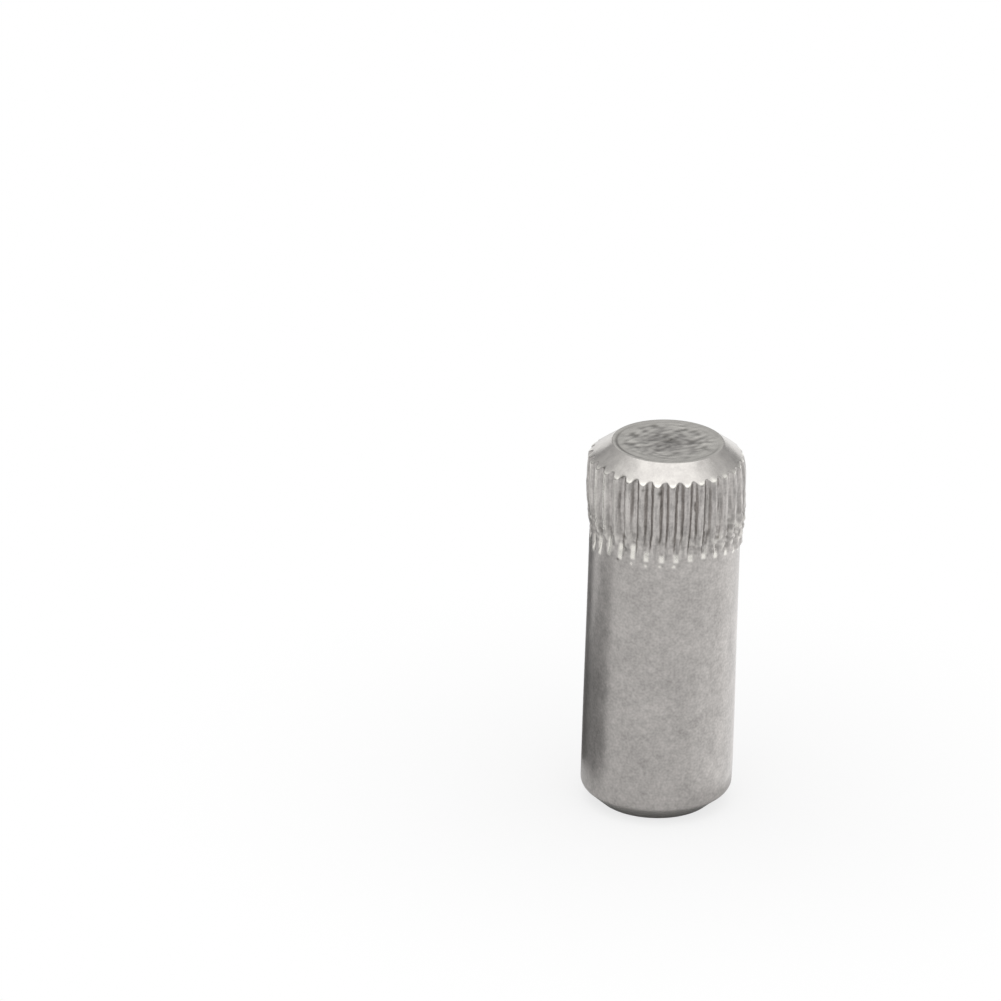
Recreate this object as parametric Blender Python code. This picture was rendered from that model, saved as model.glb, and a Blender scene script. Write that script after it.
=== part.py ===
"""Knurled pin: a short round bar turned in one piece, with a straight knurl rolled round one end.

Metres, +Z up. The origin is the centre of the plain end's face, and the knurled end is up.
"""

import math

import bmesh
import bpy

MM = 0.001

# Turned body
LENGTH = 20.3 * MM
SHANK_DIAMETER = 8.0 * MM
PLAIN_CHAMFER_WIDTH = 1.0 * MM
PLAIN_CHAMFER_HEIGHT = 0.87 * MM
KNURLED_CHAMFER_WIDTH = 1.07 * MM  # from the shank's own diameter in to the end face
KNURLED_CHAMFER_ANGLE = math.radians(36.0)  # between the chamfer and the end face
FACE_EDGE_RADIUS = 0.12 * MM

# Straight knurl
TEETH = 32
CREST_RISE = 0.22 * MM  # above the shank, where the swell is widest
ROOT_DEPTH = 0.1 * MM  # below the shank
SWELL_SPAN = 4.7 * MM  # from the end face to where the teeth have sunk to the shank
WIDEST_BELOW_FACE = 2.1 * MM
GROOVE_OVERRUN = 0.6 * MM  # how far the grooves run on into the shank, past the swell
RUN_OUT_LENGTH = 0.9 * MM  # over which the grooves' floor rises to the shank
GROOVE_FLOOR_WIDTH = 0.15 * MM
FLANK_LEAN = math.radians(30.0)  # from the radius that the tooth stands on
FLANK_SHARE = 0.8  # of a tooth's height, below its rounded shoulder
SHOULDER_SHARE = 0.95  # of a tooth's height, at the top of the shoulder
SHOULDER_WIDTH = 0.07 * MM
SEAM_WIDTH = 0.02 * MM  # the flank's least width, where the groove is about to end

# Finish
STEEL_COLOUR = (0.60, 0.585, 0.57, 1.0)
STEEL_ROUGHNESS = 0.35

# Facets
EDGE_STEPS = 2
OVERRUN_STEPS = 3
TOOTH_STEPS = 7
HALVINGS = 40
WELD_DISTANCE = 1e-7
SMOOTH_ANGLE = math.radians(28.0)

SHANK_RADIUS = SHANK_DIAMETER / 2
PLAIN_FACE_RADIUS = SHANK_RADIUS - PLAIN_CHAMFER_WIDTH
KNURLED_FACE_RADIUS = SHANK_RADIUS - KNURLED_CHAMFER_WIDTH
SWELL_START = LENGTH - SWELL_SPAN
WIDEST_HEIGHT = LENGTH - WIDEST_BELOW_FACE
GROOVE_START = SWELL_START - GROOVE_OVERRUN
HALF_PITCH = math.pi / TEETH


def clear_scene():
    for obj in list(bpy.data.objects):
        bpy.data.objects.remove(obj, do_unlink=True)


def stainless_steel():
    material = bpy.data.materials.new("stainless_steel")
    material.use_nodes = True
    shader = material.node_tree.nodes["Principled BSDF"]
    shader.inputs["Base Color"].default_value = STEEL_COLOUR
    shader.inputs["Metallic"].default_value = 1.0
    shader.inputs["Roughness"].default_value = STEEL_ROUGHNESS
    material.diffuse_color = STEEL_COLOUR
    return material


def rounded_corner(before, corner, after, radius, steps):
    """The arc, as (radius, height) points, that rounds the corner of an outline between two straights."""
    into_angle = math.atan2(before[1] - corner[1], before[0] - corner[0])
    out_angle = math.atan2(after[1] - corner[1], after[0] - corner[0])
    opening = (out_angle - into_angle + math.pi) % (2 * math.pi) - math.pi
    middle = into_angle + opening / 2
    reach = radius / math.sin(abs(opening) / 2)
    centre = (corner[0] + reach * math.cos(middle), corner[1] + reach * math.sin(middle))
    half_arc = math.copysign((math.pi - abs(opening)) / 2, opening)
    points = []
    for step in range(steps + 1):
        angle = middle + math.pi + half_arc * (1 - 2 * step / steps)
        points.append((centre[0] + radius * math.cos(angle), centre[1] + radius * math.sin(angle)))
    return points


def plain_end():
    """The outline from the plain face up over its rounded edge and chamfer to the shank."""
    axis = (0.0, 0.0)
    edge = (PLAIN_FACE_RADIUS, 0.0)
    shank = (SHANK_RADIUS, PLAIN_CHAMFER_HEIGHT)
    return rounded_corner(axis, edge, shank, FACE_EDGE_RADIUS, EDGE_STEPS) + [shank]


def chamfer_radius(height):
    """The knurled end's chamfer, as the radius of its cone at a height."""
    return KNURLED_FACE_RADIUS + (LENGTH - height) / math.tan(KNURLED_CHAMFER_ANGLE)


def knurled_end():
    """The outline over the rounded edge between the knurled end's chamfer and its face."""
    chamfer = (chamfer_radius(WIDEST_HEIGHT), WIDEST_HEIGHT)
    edge = (KNURLED_FACE_RADIUS, LENGTH)
    axis = (0.0, LENGTH)
    return rounded_corner(chamfer, edge, axis, FACE_EDGE_RADIUS, EDGE_STEPS)


def crest_radius(height):
    """The teeth swell from the shank to their widest place and fall again towards the end."""
    if height < SWELL_START:
        return SHANK_RADIUS
    from_widest = (height - WIDEST_HEIGHT) / (WIDEST_HEIGHT - SWELL_START)
    return SHANK_RADIUS + CREST_RISE * (1 - from_widest**2)


def root_radius(height):
    """The grooves' floor, which rises to the shank over the run-out."""
    into_groove = min((height - GROOVE_START) / RUN_OUT_LENGTH, 1.0)
    return SHANK_RADIUS - ROOT_DEPTH * math.sin(into_groove * math.pi / 2)


def half_section(height):
    """The section from the middle of a groove to the middle of the next crest, as (angle, radius) points."""
    root = root_radius(height)
    tall = crest_radius(height) - root
    floor = GROOVE_FLOOR_WIDTH / 2 / SHANK_RADIUS
    flank = (SEAM_WIDTH + FLANK_SHARE * tall * math.tan(FLANK_LEAN)) / SHANK_RADIUS
    crest_left = HALF_PITCH - floor - flank
    shoulder = min(SHOULDER_WIDTH / SHANK_RADIUS, crest_left / 2)
    return [
        (0.0, root),
        (floor, root),
        (floor + flank, root + FLANK_SHARE * tall),
        (floor + flank + shoulder, root + SHOULDER_SHARE * tall),
        (HALF_PITCH, root + tall),
    ]


def meeting_height(column):
    """The height where this line of the tooth runs into the end's chamfer."""
    low, high = WIDEST_HEIGHT, LENGTH
    for _ in range(HALVINGS):
        middle = (low + high) / 2
        if half_section(middle)[column][1] < chamfer_radius(middle):
            low = middle
        else:
            high = middle
    return low


def column_points(column):
    """One line up the pin from the plain face to the knurled one, as (angle, radius, height) points."""
    start_angle = half_section(GROOVE_START)[column][0]
    points = [(start_angle, radius, height) for radius, height in plain_end()]
    heights = [GROOVE_START + GROOVE_OVERRUN * step / OVERRUN_STEPS for step in range(OVERRUN_STEPS)]
    tooth_length = meeting_height(column) - SWELL_START
    heights += [SWELL_START + tooth_length * step / TOOTH_STEPS for step in range(TOOTH_STEPS + 1)]
    points += [(*half_section(height)[column], height) for height in heights]
    top_angle = points[-1][0]
    return points + [(top_angle, radius, height) for radius, height in knurled_end()]


def add_tooth_space(bm):
    """One groove with half a tooth on each side, from face to face."""
    half = [column_points(column) for column in range(len(half_section(GROOVE_START)))]
    other_half = [[(-angle, radius, height) for angle, radius, height in line] for line in half[:0:-1]]
    columns = []
    for line in other_half + half:
        columns.append([bm.verts.new((r * math.cos(a), r * math.sin(a), z)) for a, r, z in line])
    for left, right in zip(columns, columns[1:]):
        for row in range(len(left) - 1):
            bm.faces.new((left[row], right[row], right[row + 1], left[row + 1]))


def repeat_round_axis(bm):
    bmesh.ops.spin(
        bm,
        geom=bm.verts[:] + bm.edges[:] + bm.faces[:],
        cent=(0.0, 0.0, 0.0),
        axis=(0.0, 0.0, 1.0),
        angle=2 * math.pi * (TEETH - 1) / TEETH,
        steps=TEETH - 1,
        use_duplicate=True,
    )
    bmesh.ops.remove_doubles(bm, verts=bm.verts[:], dist=WELD_DISTANCE)


def close_ends(bm):
    rims = [edge for edge in bm.edges if edge.is_boundary]
    faces = bmesh.ops.edgeloop_fill(bm, edges=rims)["faces"]
    bmesh.ops.poke(bm, faces=faces)
    bmesh.ops.recalc_face_normals(bm, faces=bm.faces[:])


def knurled_pin():
    bm = bmesh.new()
    add_tooth_space(bm)
    repeat_round_axis(bm)
    close_ends(bm)
    mesh = bpy.data.meshes.new("knurled_pin")
    bm.to_mesh(mesh)
    bm.free()
    mesh.shade_smooth()
    mesh.set_sharp_from_angle(angle=SMOOTH_ANGLE)
    mesh.materials.append(stainless_steel())
    pin = bpy.data.objects.new("knurled_pin", mesh)
    bpy.context.scene.collection.objects.link(pin)
    return pin


def main():
    clear_scene()
    knurled_pin()


main()
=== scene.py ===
"""The looks of the knurled pin: a fine model of it with its steel finish, and a plain pale stage.

Metres, +Z up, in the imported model's frame: the pin stands on its plain end and its knurl is up.
"""

import math
import random

import bmesh
import bpy
import numpy as np
from bpy.props import FloatProperty, FloatVectorProperty, IntProperty, PointerProperty
from mathutils import Matrix, Vector, noise


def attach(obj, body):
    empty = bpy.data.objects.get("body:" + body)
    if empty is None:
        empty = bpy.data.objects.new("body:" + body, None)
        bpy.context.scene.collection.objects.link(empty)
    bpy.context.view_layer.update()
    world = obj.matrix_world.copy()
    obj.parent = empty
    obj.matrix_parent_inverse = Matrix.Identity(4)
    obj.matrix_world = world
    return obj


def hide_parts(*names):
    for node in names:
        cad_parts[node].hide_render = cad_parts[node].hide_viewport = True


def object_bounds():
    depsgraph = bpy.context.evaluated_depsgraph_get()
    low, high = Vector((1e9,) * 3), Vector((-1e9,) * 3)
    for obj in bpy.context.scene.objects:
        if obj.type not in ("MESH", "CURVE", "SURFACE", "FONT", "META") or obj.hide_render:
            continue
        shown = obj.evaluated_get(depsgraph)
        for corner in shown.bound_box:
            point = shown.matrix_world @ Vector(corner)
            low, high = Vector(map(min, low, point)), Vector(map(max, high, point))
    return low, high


bl_info = {
    "name": "Knurled pin",
    "version": (1, 0, 0),
    "blender": (4, 5, 0),
    "location": "View3D > Sidebar > Knurled pin",
    "description": "Builds a short steel pin with a rolled straight knurl, and the stage it stands on",
    "category": "Object",
}

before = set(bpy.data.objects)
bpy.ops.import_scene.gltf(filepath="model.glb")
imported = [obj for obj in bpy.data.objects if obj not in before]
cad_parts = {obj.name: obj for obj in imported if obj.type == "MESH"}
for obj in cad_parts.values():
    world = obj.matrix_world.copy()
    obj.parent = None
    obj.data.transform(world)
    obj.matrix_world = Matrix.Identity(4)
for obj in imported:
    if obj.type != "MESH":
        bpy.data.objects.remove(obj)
CAD_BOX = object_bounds()
CAD_NODE = "knurled_pin"

MM = 0.001
PIECE = "knurled_steel_pin"
SMOOTH_ANGLE = math.radians(50.0)
SNAP = 1e-6
HALVINGS = 24  # in the search for where a column runs into the chamfer

# Rows and columns of the mesh
COLUMNS_PER_TOOTH = 16
FLOOR_EDGE_COLUMN = 2
FLANK_TOP_COLUMN = 6
EDGE_STEPS = 3
SHOULDER_STEPS = 6
FOOT_CHAMFER_ROWS = 5
SHANK_ROWS = 12
KNURL_ROWS = 96
CHAMFER_ROWS = 11
CORNER_ROWS = 3
FOOT_FACE_RINGS = 4

# The photograph's camera
IMAGE_SIDE = 1001
SENSOR_WIDTH = 36.0
PIXELS_PER_METRE = 18924.0
CAMERA_DISTANCE = 0.7
CAMERA_ELEVATION = math.radians(24.4)
CAMERA_ROLL = math.radians(2.03)
CAMERA_TURN = math.radians(0.7)
CAMERA_CLIP_START = 0.01
FOOT_PIXEL = (655.1, 794.5)

# The floor, a disc with an upright rim that stands as a backdrop behind low views
FLOOR_RADIUS = 0.6
FLOOR_CORNERS = 96
BACKDROP_HEIGHT = 0.03
SHADOW_REACH = (4.0 * MM, 30.0 * MM)
GLOSS_REACH = (12.0 * MM, 60.0 * MM)

# How far a ray rises, where the room's walls turn from dark to light
WALL_RISE = (0.05, 0.7)

# The studio cards' corners in mm: the lower edge from near to far, then the upper one back
GREY_CORNERS = ((-7.5, -3.2, 0.0), (-6.5, 6.0, 0.0), (-13.0, -1.5, 16.0), (-14.0, -4.2, 16.0))
DARK_CORNERS = ((-7.3, 1.9, 0.0), (-5.4, 4.5, 0.0), (-5.4, 4.5, 17.0), (-7.3, 1.9, 17.0))
EDGE_CORNERS = ((6.2, 3.4, 0.0), (4.4, 5.9, 0.0), (4.4, 5.9, 13.0), (6.2, 3.4, 13.0))
WHITE_CORNERS = ((6.2, -1.5, 0.0), (4.6, 5.0, 0.0), (4.0, 17.0, 22.0), (14.0, 0.0, 22.0))
PALE_CORNERS = ((6.4, -6.5, 0.0), (6.2, -1.5, 0.0), (14.0, 0.0, 22.0), (14.0, -9.0, 22.0))
HIGH_CORNERS = ((-8.5, 9.2, 19.0), (-5.0, 13.0, 19.0), (-5.0, 13.0, 23.5), (-8.5, 9.2, 23.5))
CARD_FADE = (2.0 * MM, 11.0 * MM)

# Each card's name and corners, and its brightness low and high as shares of the card setting
GREY_CARDS = (
    ("grey_card", GREY_CORNERS, 1.0, 1.7),
    ("dark_card", DARK_CORNERS, 0.4, 0.6),
)
WHITE_CARDS = (
    ("edge_card", EDGE_CORNERS, 1.6, 1.0),
    ("white_card", WHITE_CORNERS, 1.0, 1.0),
    ("pale_card", PALE_CORNERS, 0.86, 0.86),
    ("high_white_card", HIGH_CORNERS, 1.0, 1.0),
)

# Each lamp's name, centre, width and depth, and its brightness as a share of the lamp setting
OVERHEAD_LAMPS = (
    ("overhead_light", (0.0, -0.02, 0.3), 0.3, 0.26, 1.1),
    ("wide_overhead_light", (0.0, -0.03, 0.31), 0.5, 0.42, 0.7),
)
FRONT_LAMPS = (("front_light", (0.0, -0.8, 0.5), 1.3, 0.7, 1.0),)

FRONT = CAMERA_TURN - math.pi / 2


def round_side(degrees, spread):
    """A side of the pin: its middle, in degrees right of the front, and how far it spreads."""
    return FRONT + math.radians(degrees), math.radians(spread)


# Sides of the pin where it is uneven
LIP_SIDE = round_side(80.0, 45.0)
WORN_SIDE = round_side(105.0, 50.0)
LONG_POCKET_SIDE = round_side(-60.0, 42.0)
CLEAN_SIDE = round_side(0.0, 28.0)
LOW_LEFT_SIDE = round_side(-72.0, 28.0)
LOW_RIGHT_SIDE = round_side(82.0, 28.0)
# Where a painted glint runs along the crests
PAINTED_GLINT_SIDE = round_side(-62.0, 26.0)
FOOT_WEAR_SIDE = round_side(60.0, 50.0)
CALM_FACE_SIDE = round_side(0.0, 50.0)
RIM_LEFT_SIDE = round_side(-75.0, 48.0)
RIM_RIGHT_SIDE = round_side(60.0, 25.0)

# How far the grooves' ends drop on the low sides and under the long pockets
LOW_LEFT_DROP = 0.45 * MM
LOW_RIGHT_DROP = 0.42 * MM
POCKET_DROP = 0.15  # of a long pocket's growth

# Least and greatest share that a random draw gives
GROOVE_DEPTHS = (0.8, 1.2)
CREST_RISES = (0.88, 1.0)
POCKET_LENGTHS = (0.85, 1.15)
# How much painted shade each flank takes
FLANK_SHADE_SHARES = (0.3, 1.8)

# Noise: the size of its lumps, the share of the height that counts, and a shift that sets it apart
WANDER = (0.5 * MM, 0.25, 3.1)
TORN_LUMPS = (0.19 * MM, 0.8, 1.7)
TORN_RAGS = (0.11 * MM, 1.0, 5.2)
FINE_TEARS = (0.16 * MM, 0.4, 9.4)
CHAMFER_DENTS = (0.7 * MM, 1.0, 12.6)
FACE_STROKES = (0.34 * MM, 1.0, 8.8)
FACE_SWIRLS = (0.45 * MM, 1.0, 2.9)
FACE_PATCHES = (0.9 * MM, 1.0, 4.4)
RING_WANDER = (1.3 * MM, 1.0, 6.1)
SHIFT_SHARES = (1.0, 2.3, -1.7)  # of the shift, along each axis

# The rolled teeth
PLAIN_BELOW_GROOVES = 0.75 * MM
WAIST_BEGINS = (4.0 * MM, 13.0 * MM)
WAIST_ENDS = (16.0 * MM, 17.5 * MM)
SLIP_SPAN = 1.2 * MM
FLANK_LEAN = 0.18  # share by which a right flank is narrower and a left one wider
TOP_BEGINS = 0.2 * MM  # above the widest place
TOP_FULL = 1.1 * MM
TOP_FLOOR_LOSS = 0.6
TOP_FLANK_GAIN = 0.3

# The upper corners' wear in two steps: a share, and how far below the face it begins and is full
SHOULDER_WEAR = ((0.35, 4.0 * MM, 2.8 * MM), (0.65, 1.7 * MM, 0.7 * MM))

# The pockets at the grooves' lower ends
POCKET_RISE = 0.14 * MM
POCKET_FADE = (0.8, 1.2)  # of a pocket's length
POCKET_SIDE = (0.16 * MM, 0.28 * MM)
POCKET_FLOOR_GAIN = 0.5
POCKET_FLANK_LOSS = 0.35
# Where the pockets are burnished, and how strongly their colour is lightened as a painted sheen
POCKET_SHEEN_SIDE = (0.06 * MM, 0.19 * MM)
POCKET_BURNISH_AND_SHEEN = 0.85

# The torn metal and the lip
LIP_BEGINS = 0.05 * MM  # above the grooves' start
LIP_RISE_SPAN = 0.25 * MM
LIP_FADES = 0.3 * MM  # above the swell's start
TEAR_BEGINS = 0.1 * MM  # above the grooves' start
TEAR_FADES = 0.4 * MM  # above the swell's start
TEAR_ENDS = 1.5 * MM
TEAR_ENDS_LATER = 0.8 * MM  # added at the lip
TEAR_SHARE = 0.85
TEAR_MORE_AT_LIP = 0.6
TEAR_LESS_IN_FRONT = 0.7
RAG_SHARE = 0.25
FINE_TEAR_SHARE = 0.28
TOOTHED_HEIGHT = 0.1 * MM

# Painted highlights on the torn specks, on the crests' ridges at the left and at the teeth's tips on the
# chamfer; painted shade in the pits and on the flanks
SPECK_LEVEL = 0.32
SPECK_HIGHLIGHT = 0.32
RIDGE_GLINT_WIDTH = 0.1 * MM
RIDGE_GLINT_RISE = 0.8 * MM
RIDGE_GLINT = 0.6
PIT_LEVEL = 0.35
PIT_SHADE = 0.28
FLANK_SHADE_WIDTH = 0.09 * MM
FLANK_SHADE_LEFT = 0.07
FLANK_SHADE_RIGHT = 0.035
FLANK_SHADE_BEGINS = 0.5 * MM  # above the swell's start
LOW_FLANK_SHADE = 1.6
LOW_FLANK_SHADE_ENDS = (1.0 * MM, 2.0 * MM)  # above the swell's start
TIP_GLINT_SPAN = (0.02, 0.16)  # of the way up the chamfer
TIP_GLINT_CREST = 0.6  # of half the pitch, from the groove's middle
TIP_GLINT = 0.8
DENT_FADE = 0.3  # of the way down the chamfer from the face

# The foot
FOOT_MARGIN = 0.03 * MM  # inside the shank's radius
# Painted shade on the foot's chamfer, darker towards the floor
FOOT_SHADE = 0.3
FOOT_RIM_SHADE = 0.35
FOOT_WEAR_FADE = (0.3 * MM, 1.5 * MM)

# The knurled face: rings, smears, a groove near the rim, a worn centre and scuffs
DEEPEST_SCUFF = 0.06 * MM
HIGHEST_SMEAR = 0.02 * MM
RING_PITCH = 0.34 * MM
RING_SHIFT = 2.5
STROKE_SCALES = (0.434, 0.8)  # along the strokes and across them
STROKE_SHARE = 1.6
SWIRL_SCALE = 1.6
SWIRL_SHARE = 0.7
SMEAR_FADE = (0.7, 0.9)  # of the face's radius
SMEAR_AT_RIM = 0.15
CALM_SHARE = 0.6
CALM_BEGINS = (0.7 * MM, 1.5 * MM)
RIM_GROOVE_PLACE = 0.92  # of the face's radius
RIM_GROOVE_WIDTH = 0.07 * MM
RIM_GROOVE_DEPTH = 0.022 * MM
RIM_GROOVE_LEAST = 0.02
RIM_GROOVE_RIGHT = 0.4
# A painted highlight in a ring just inside the rim
RIM_HIGHLIGHT_INSET = 0.93
CENTRE_DEPTH = 0.03 * MM
CENTRE_SIZE = (0.3 * MM, 0.2 * MM)
# Size of the darker patch at the face's centre
CENTRE_DARK_SIZE = (0.4 * MM, 0.3 * MM)
FACE_LEVEL = (0.95, 1.0)  # of the face's radius
FACE_HOLLOW = (0.55, 1.0)
SCUFF_PLACES = (0.01, 0.62)  # of the face's area
SCUFF_HALF_LENGTHS = (0.14, 0.36)  # in mm
SCUFF_HALF_WIDTHS = (0.08, 0.14)  # in mm
SCUFF_HEIGHTS = (-1.0, 0.8)  # of the scuff depth
SCUFF_LEAN = 0.5
FACE_BRIGHT_SMEAR = 0.5
FACE_BRIGHT_RIM = 0.44
FACE_BRIGHT_FROM = (0.8 * MM, 2.6 * MM)
# Strength of the painted highlight just inside the rim
FACE_RIM_HIGHLIGHT = 0.35
FACE_DARK_SMEAR = 0.65
FACE_DARK_CENTRE = 0.5
# Painted shade in the rim groove
FACE_GROOVE_SHADE = 0.7
FACE_DARK_INNER = 0.2
FACE_DARK_TO = (0.2 * MM, 1.6 * MM)

# The steel's patterns, as the size of their lumps and their detail
SPECKLE = (1.0, 0.5)  # in grains
BLOTCH = (3.5, 1.5)  # in grains
CLOUD = (1.6 * MM, 3.0)
STREAK = (0.16 * MM, 2.0)
MOTTLE = (0.6 * MM, 3.0)
STREAK_SCALE = (1.0, 1.0, 0.12)  # long along the pin
PATTERN_ROUGHNESS = 0.55

# How strongly they swing its colour and gloss
SPECKLE_SWING = 0.85
BLOTCH_SWING = 0.8
CLOUD_SWING = 0.7
STREAK_SWING = 2.6
COLOUR_SWING = 0.28
TURNED_CALM = 0.55
TURNED_BRIGHT = 0.2
MOTTLE_SWING = 0.5
TURNED_POLISH = 0.8
CLOUD_GLOSS = 0.15
BLOTCH_GLOSS = 0.1

# Bright and dark marks: degrees right of the front, height, half width and half height in mm, strength
MARKS = (
    (-4.5, 19.05, 0.09, 0.13, -1.0),
    (-17.0, 19.15, 0.08, 0.08, -0.7),
    (-57.0, 19.55, 0.1, 0.1, -0.8),
    (-36.0, 19.52, 0.1, 0.1, -0.8),
    (-24.5, 19.52, 0.09, 0.09, -0.8),
    (37.5, 19.5, 0.13, 0.1, 1.0),
    (49.5, 19.5, 0.13, 0.1, 0.8),
    (-4.5, 16.3, 0.06, 0.16, -0.45),
    (-0.8, 16.1, 0.08, 0.1, -0.4),
    (6.1, 16.4, 0.07, 0.22, -0.6),
    (17.9, 16.5, 0.07, 0.22, -0.6),
    (-37.5, 14.86, 0.09, 0.07, -1.0),
    (-25.4, 14.81, 0.07, 0.1, 0.7),
    (-13.8, 14.8, 0.08, 0.08, 0.8),
    (-3.1, 14.84, 0.08, 0.07, 0.8),
    (-0.7, 14.87, 0.06, 0.06, -0.5),
    (7.7, 14.85, 0.1, 0.08, 1.0),
    (11.5, 14.9, 0.08, 0.08, -0.4),
)


class PinSizes(bpy.types.PropertyGroup):
    """Sizes of the turned body and its knurl"""

    length: FloatProperty(
        name="Length",
        description="From face to face",
        default=CAD_BOX[1].z - CAD_BOX[0].z,
        unit="LENGTH",
    )
    shank_diameter: FloatProperty(
        name="Shank diameter",
        description="Of the plain round part",
        default=8.0 * MM,
        unit="LENGTH",
    )
    foot_chamfer_width: FloatProperty(
        name="Foot chamfer width",
        description="From the shank in to the face",
        default=1.0 * MM,
        unit="LENGTH",
    )
    foot_chamfer_height: FloatProperty(
        name="Foot chamfer height",
        description="Along the pin",
        default=0.87 * MM,
        unit="LENGTH",
    )
    head_chamfer_width: FloatProperty(
        name="Head chamfer width",
        description="From the shank's diameter in to the face",
        default=1.07 * MM,
        unit="LENGTH",
    )
    head_chamfer_angle: FloatProperty(
        name="Head chamfer angle",
        description="Between the chamfer and the face",
        default=math.radians(36.0),
        subtype="ANGLE",
    )
    edge_radius: FloatProperty(
        name="Edge radius",
        description="Where a chamfer meets a face",
        default=0.12 * MM,
        unit="LENGTH",
    )
    shoulder_radius: FloatProperty(
        name="Shoulder radius",
        description="Where the foot's chamfer meets the shank",
        default=0.55 * MM,
        unit="LENGTH",
    )
    teeth: IntProperty(name="Teeth", description="Round the knurl", default=32, min=8)
    crest_rise: FloatProperty(
        name="Crest rise",
        description="Above the shank, at the widest",
        default=0.22 * MM,
        unit="LENGTH",
    )
    root_depth: FloatProperty(
        name="Root depth",
        description="Of the grooves below the shank",
        default=0.1 * MM,
        unit="LENGTH",
    )
    swell_span: FloatProperty(
        name="Swell span",
        description="From the end face to where the teeth sink to the shank",
        default=4.7 * MM,
        unit="LENGTH",
    )
    widest_below_face: FloatProperty(
        name="Widest below face",
        description="Place of the widest section",
        default=2.1 * MM,
        unit="LENGTH",
    )
    groove_overrun: FloatProperty(
        name="Groove overrun",
        description="Of the grooves past the swell",
        default=0.55 * MM,
        unit="LENGTH",
    )
    run_out: FloatProperty(
        name="Run-out",
        description="Over which a groove's floor rises",
        default=0.8 * MM,
        unit="LENGTH",
    )
    floor_width: FloatProperty(
        name="Floor width",
        description="Of a groove",
        default=0.14 * MM,
        unit="LENGTH",
    )
    flank_width: FloatProperty(
        name="Flank width",
        description="Across one flank of a tooth",
        default=0.2 * MM,
        unit="LENGTH",
    )
    crown: FloatProperty(
        name="Crown",
        description="Share of a tooth's height in its rounded crest",
        default=0.3,
        subtype="FACTOR",
    )
    run_out_depth: FloatProperty(
        name="Run-out depth",
        description="Of the pocket that the roll pressed at a groove's lower end",
        default=0.12 * MM,
        unit="LENGTH",
    )
    burr: FloatProperty(
        name="Burr",
        description="Width of the worn corner where the chamfer cuts a tooth",
        default=0.04 * MM,
        unit="LENGTH",
    )
    lip_rise: FloatProperty(
        name="Lip rise",
        description="Of the torn lip that the roll pushed up on the right side",
        default=0.13 * MM,
        unit="LENGTH",
    )
    shoulder_wear: FloatProperty(
        name="Shoulder wear",
        description="Lost from the teeth's upper corners on the right side",
        default=0.15 * MM,
        unit="LENGTH",
    )
    pocket_length: FloatProperty(
        name="Pocket length",
        description="Of the shortest run-out pocket",
        default=0.38 * MM,
        unit="LENGTH",
    )
    pocket_growth: FloatProperty(
        name="Pocket growth",
        description="Added where the pockets are longest",
        default=0.85 * MM,
        unit="LENGTH",
    )
    slip: FloatProperty(
        name="Slip",
        description="How far the roll slipped sideways as it began",
        default=0.1 * MM,
        unit="LENGTH",
    )
    waist: FloatProperty(
        name="Waist",
        description="Lost from the shank's radius under the knurl",
        default=0.04 * MM,
        unit="LENGTH",
    )
    foot_wear: FloatProperty(
        name="Foot wear",
        description="Lost from the foot's edge on the right side",
        default=0.16 * MM,
        unit="LENGTH",
    )


class PinWear(bpy.types.PropertyGroup):
    """How uneven the rolled knurl and the faces are"""

    seed: IntProperty(name="Seed", description="Of every random size", default=7)
    end_scatter: FloatProperty(
        name="End scatter",
        description="How far the grooves' ends differ",
        default=0.06 * MM,
        unit="LENGTH",
    )
    side_scatter: FloatProperty(
        name="Side scatter",
        description="How far the grooves stand from even spacing",
        default=0.025 * MM,
        unit="LENGTH",
    )
    tear: FloatProperty(
        name="Tear",
        description="Height of the torn metal at the knurl's lower end",
        default=0.08 * MM,
        unit="LENGTH",
    )
    dents: FloatProperty(
        name="Dents",
        description="Depth of the soft dents in the head's chamfer",
        default=0.02 * MM,
        unit="LENGTH",
    )
    smear: FloatProperty(
        name="Smear",
        description="Height of the smeared metal on the knurled face",
        default=0.018 * MM,
        unit="LENGTH",
    )
    ripple: FloatProperty(
        name="Ripple",
        description="Unevenness of the teeth along the pin",
        default=0.02 * MM,
        unit="LENGTH",
    )
    facing_depth: FloatProperty(
        name="Facing depth",
        description="Of the turning rings on the face",
        default=0.003 * MM,
        unit="LENGTH",
    )
    scuff_depth: FloatProperty(
        name="Scuff depth",
        description="Of the scuffs on the face",
        default=0.02 * MM,
        unit="LENGTH",
    )
    scuffs: IntProperty(name="Scuffs", description="Number of scuffs on the face", default=45, min=0)


class PinFinish(bpy.types.PropertyGroup):
    """Colours and roughness of the steel"""

    steel: FloatVectorProperty(
        name="Steel",
        description="Colour of the tumbled steel",
        default=(0.44, 0.42, 0.405),
        subtype="COLOR",
        size=3,
    )
    # Colour of the burnished steel and of the painted highlights
    burnished_and_highlight_steel: FloatVectorProperty(
        name="Bright steel",
        description="Colour where the roll has burnished it",
        default=(0.85, 0.83, 0.775),
        subtype="COLOR",
        size=3,
    )
    # Colour of the painted shade on the flanks, in the pits, on the foot's chamfer and in the face's
    # groove, and of the dark marks
    shade_and_grime: FloatVectorProperty(
        name="Grime",
        description="Colour in the pits and scuffs",
        default=(0.13, 0.122, 0.11),
        subtype="COLOR",
        size=3,
    )
    roughness: FloatProperty(
        name="Roughness",
        description="Of the tumbled steel",
        default=0.34,
        subtype="FACTOR",
    )
    polish: FloatProperty(
        name="Polish",
        description="How much smoother bright steel is",
        default=0.12,
        subtype="FACTOR",
    )
    grain: FloatProperty(
        name="Grain",
        description="Size of the tumbled speckle",
        default=0.125 * MM,
        unit="LENGTH",
    )
    grain_depth: FloatProperty(
        name="Grain depth",
        description="Relief of the speckle",
        default=0.0025 * MM,
        unit="LENGTH",
    )


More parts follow.
